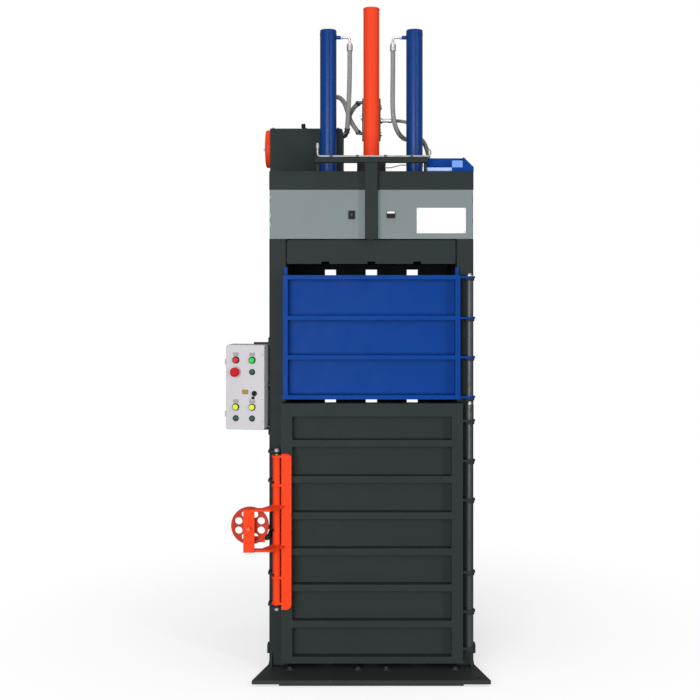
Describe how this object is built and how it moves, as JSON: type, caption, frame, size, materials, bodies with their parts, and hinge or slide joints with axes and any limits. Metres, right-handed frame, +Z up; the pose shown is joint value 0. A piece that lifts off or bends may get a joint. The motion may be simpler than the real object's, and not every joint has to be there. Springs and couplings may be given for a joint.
{
  "type": "recycling baler",
  "caption": "Upright hydraulic baler with two rams and a guide tube over a tall pressing chamber, a hinged feed door over a ribbed bale door, and a screw lock with a handwheel.",
  "frame": {"origin": "on the floor under the middle of the press body, on the underside of the middle skid", "axes": "+Z up, -Y towards the person in front of the doors, +X to that person's right"},
  "size_m": [1.3045, 1.091, 3.395],
  "materials": {
    "charcoal_paint": "satin powder coat",
    "base_paint": "matt paint",
    "blue_paint": "gloss paint",
    "orange_paint": "gloss paint",
    "wheel_paint": "gloss paint",
    "grey_paint": "satin paint",
    "box_paint": "fine texture powder coat",
    "bright_steel": "ground",
    "chromed_rod": "polished",
    "fitting_zinc": "zinc plated",
    "black_fitting": "black zinc",
    "bronze": "turned",
    "hose_rubber": "braided",
    "pad_plastic": "moulded",
    "black_plastic": "moulded",
    "red_plastic": "moulded",
    "green_plastic": "moulded",
    "yellow_plastic": "moulded",
    "lamp_lens": "clear lens"
  },
  "bodies": {
    "press_bodywork": {"base_plate": "base_paint", "column_left": "charcoal_paint", "column_right": "charcoal_paint", "side_wall_left": "charcoal_paint", "side_wall_right": "charcoal_paint", "rear_wall": "charcoal_paint", "chamber_floor": "charcoal_paint", "header_frame": "charcoal_paint", "cylinder_beam": "charcoal_paint", "t_post": "charcoal_paint", "steel_pipes": "bright_steel", "pipe_fittings": "bright_steel", "cylinder_barrel_left": "blue_paint", "cylinder_barrel_right": "blue_paint", "cylinder_glands": "fitting_zinc", "guide_tube": "orange_paint", "guide_hub": "base_paint", "guide_bush": "bronze", "port_fittings": "fitting_zinc", "hose_ends": "black_fitting", "power_unit_housing": "charcoal_paint", "power_unit_lid": "charcoal_paint", "pump_motor": "orange_paint", "valve_tray": "blue_paint", "valve_block": "fitting_zinc", "manifold_block": "black_fitting", "hose_left": "hose_rubber", "hose_right": "hose_rubber", "hose_pump": "hose_rubber", "hose_return": "hose_rubber", "hose_valve": "hose_rubber", "door_hinge_tubes": "charcoal_paint", "door_hinge_bolts": "fitting_zinc", "panel_hinges": "fitting_zinc", "lock_pivot_pin": "fitting_zinc", "control_box_arms": "base_paint", "control_box_case": "box_paint"},
    "press_head": {"platen": "charcoal_paint", "platen_pads": "pad_plastic", "guide_mast": "chromed_rod", "piston_rods": "chromed_rod", "rod_pins": "bright_steel"},
    "feed_door": {"feed_door": "blue_paint"},
    "bale_door": {"bale_door": "charcoal_paint"},
    "lock": {"lock_bar": "orange_paint"},
    "lock_foot": {"lock_presser": "orange_paint"},
    "lock_wheel": {"lock_screw": "bright_steel", "handwheel": "wheel_paint"},
    "left_panel": {"header_panel_left": "grey_paint"},
    "right_panel": {"header_panel_right": "grey_paint"},
    "left_latch": {"latch_left": "black_plastic"},
    "right_latch": {"latch_right": "black_plastic"},
    "box_lid": {"control_box_lid": "box_paint", "indicator_lamps": "lamp_lens"},
    "red_button": {"stop_button": "red_plastic"},
    "green_button": {"start_button": "green_plastic"},
    "left_yellow_button": {"lift_button": "yellow_plastic"},
    "right_yellow_button": {"press_button": "yellow_plastic"},
    "mushroom_button": {"emergency_stop": "red_plastic"},
    "selector_switch": {"key_switch": "black_plastic"}
  },
  "joints": [
    {"name": "ram_stroke", "type": "slide", "parent": "press_bodywork", "child": "press_head", "axis": [0, 0, 1], "range_m": [-0.9, 0]},
    {"name": "feed_door_hinge", "type": "hinge", "parent": "press_bodywork", "child": "feed_door", "pos_m": [0.488, -0.393, 1.66], "axis": [0, 0, 1], "range_deg": [0, 120]},
    {"name": "bale_door_hinge", "type": "hinge", "parent": "press_bodywork", "child": "bale_door", "pos_m": [0.488, -0.393, 0.69], "axis": [0, 0, 1], "range_deg": [0, 120]},
    {"name": "lock_swing", "type": "hinge", "parent": "press_bodywork", "child": "lock", "pos_m": [-0.467, -0.439, 0.71], "axis": [0, 0, 1], "range_deg": [-90, 0]},
    {"name": "lock_foot_travel", "type": "slide", "parent": "lock", "child": "lock_foot", "axis": [0, 1, 0], "range_m": [0, 0.0216]},
    {"name": "handwheel_turn", "type": "hinge", "parent": "lock_foot", "child": "lock_wheel", "pos_m": [-0.59, -0.51, 0.7565], "axis": [0, 1, 0], "range_deg": [0, 1080]},
    {"name": "left_panel_hinge", "type": "hinge", "parent": "press_bodywork", "child": "left_panel", "pos_m": [-0.499, -0.354, 2.279], "axis": [0, 0, 1], "range_deg": [-110, 0]},
    {"name": "right_panel_hinge", "type": "hinge", "parent": "press_bodywork", "child": "right_panel", "pos_m": [0.499, -0.354, 2.279], "axis": [0, 0, 1], "range_deg": [0, 110]},
    {"name": "left_latch_turn", "type": "hinge", "parent": "left_panel", "child": "left_latch", "pos_m": [-0.098, -0.362, 2.275], "axis": [0, 1, 0], "range_deg": [0, 90]},
    {"name": "right_latch_turn", "type": "hinge", "parent": "right_panel", "child": "right_latch", "pos_m": [0.098, -0.362, 2.275], "axis": [0, 1, 0], "range_deg": [-90, 0]},
    {"name": "box_lid_hinge", "type": "hinge", "parent": "press_bodywork", "child": "box_lid", "pos_m": [-0.72501, -0.36734, 1.4175], "axis": [0, 0, 1], "range_deg": [-120, 0]},
    {"name": "red_button_push", "type": "slide", "parent": "box_lid", "child": "red_button", "axis": [0.1392, 0.9903, 0], "range_m": [0, 0.004], "stiffness_N_per_m": 800},
    {"name": "green_button_push", "type": "slide", "parent": "box_lid", "child": "green_button", "axis": [0.1392, 0.9903, 0], "range_m": [0, 0.004], "stiffness_N_per_m": 800},
    {"name": "left_yellow_push", "type": "slide", "parent": "box_lid", "child": "left_yellow_button", "axis": [0.1392, 0.9903, 0], "range_m": [0, 0.004], "stiffness_N_per_m": 800},
    {"name": "right_yellow_push", "type": "slide", "parent": "box_lid", "child": "right_yellow_button", "axis": [0.1392, 0.9903, 0], "range_m": [0, 0.004], "stiffness_N_per_m": 800},
    {"name": "mushroom_push", "type": "slide", "parent": "box_lid", "child": "mushroom_button", "axis": [0.1392, 0.9903, 0], "range_m": [0, 0.005], "stiffness_N_per_m": 800},
    {"name": "selector_turn", "type": "hinge", "parent": "box_lid", "child": "selector_switch", "pos_m": [-0.57946, -0.41304, 1.388], "axis": [0.1392, 0.9903, 0], "range_deg": [0, 90]}
  ],
  "couplings": [
    {"joint": "lock_foot_travel", "follows": "handwheel_turn", "m_per_rad": 0.0011459}
  ]
}
